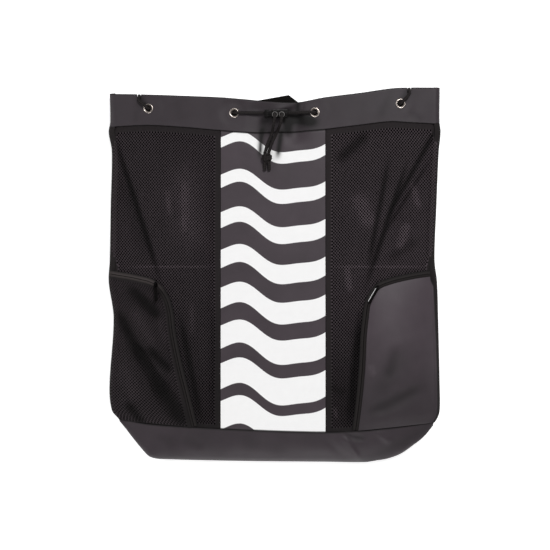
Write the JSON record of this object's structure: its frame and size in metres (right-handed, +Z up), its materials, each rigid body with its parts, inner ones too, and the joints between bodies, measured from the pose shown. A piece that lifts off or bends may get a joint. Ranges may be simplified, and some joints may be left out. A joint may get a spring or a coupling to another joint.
{
  "type": "swim bag",
  "caption": "Flat-lying drawstring swim backpack with open mesh front, coated rim, strip and base, zipped side pockets, eyelets and a sprung cord lock.",
  "frame": {"origin": "on the floor under the middle of the lying bag", "axes": "+X across the front to the right, +Y from the base to the mouth, +Z up out of the front panel"},
  "size_m": [0.536, 0.6011, 0.0625],
  "materials": {
    "coated_cloth": "soft sheen coated cloth",
    "mesh_cloth": "open knitted mesh",
    "black_cloth": "woven, matte",
    "cord": "braided",
    "zip_tape": "woven tape with nylon coil",
    "lock_plastic": "moulded",
    "grommet_metal": "nickel plated",
    "slider_metal": "black painted",
    "pull_metal": "satin"
  },
  "bodies": {
    "bag": {"base": "coated_cloth", "strip": "coated_cloth", "rim_front": "coated_cloth", "rim_back": "coated_cloth", "pocket_coated": "coated_cloth", "mesh_left": "mesh_cloth", "mesh_right": "mesh_cloth", "pocket_mesh": "mesh_cloth", "back": "black_cloth", "haul_loop": "black_cloth", "strap_left": "black_cloth", "strap_right": "black_cloth", "drawcord": "cord", "tail_left": "cord", "tail_right": "cord", "tail_knot": "cord", "zip_mesh": "zip_tape", "zip_coated": "zip_tape", "lock_body": "lock_plastic", "grommet_front_1": "grommet_metal", "grommet_front_2": "grommet_metal", "grommet_front_3": "grommet_metal", "grommet_front_4": "grommet_metal", "grommet_back_1": "grommet_metal", "grommet_back_2": "grommet_metal", "slider_mesh": "slider_metal", "slider_coated": "slider_metal"},
    "plunger": {"lock_plunger": "lock_plastic"},
    "mesh_pull": {"pull_mesh": "slider_metal"},
    "coated_pull": {"pull_coated": "pull_metal"}
  },
  "joints": [
    {"name": "lock_press", "type": "slide", "parent": "bag", "child": "plunger", "axis": [1, 0, 0], "range_m": [0, 0.0035], "stiffness_N_per_m": 600, "springref_m": -0.004},
    {"name": "mesh_pull_flip", "type": "hinge", "parent": "bag", "child": "mesh_pull", "pos_m": [-0.19004, -0.01698, 0.03667], "axis": [-0.9831, -0.0742, -0.1673], "range_deg": [0, 130]},
    {"name": "coated_pull_flip", "type": "hinge", "parent": "bag", "child": "coated_pull", "pos_m": [0.16332, -0.02229, 0.04022], "axis": [-0.8584, 0.5038, 0.0967], "range_deg": [0, 130]}
  ]
}
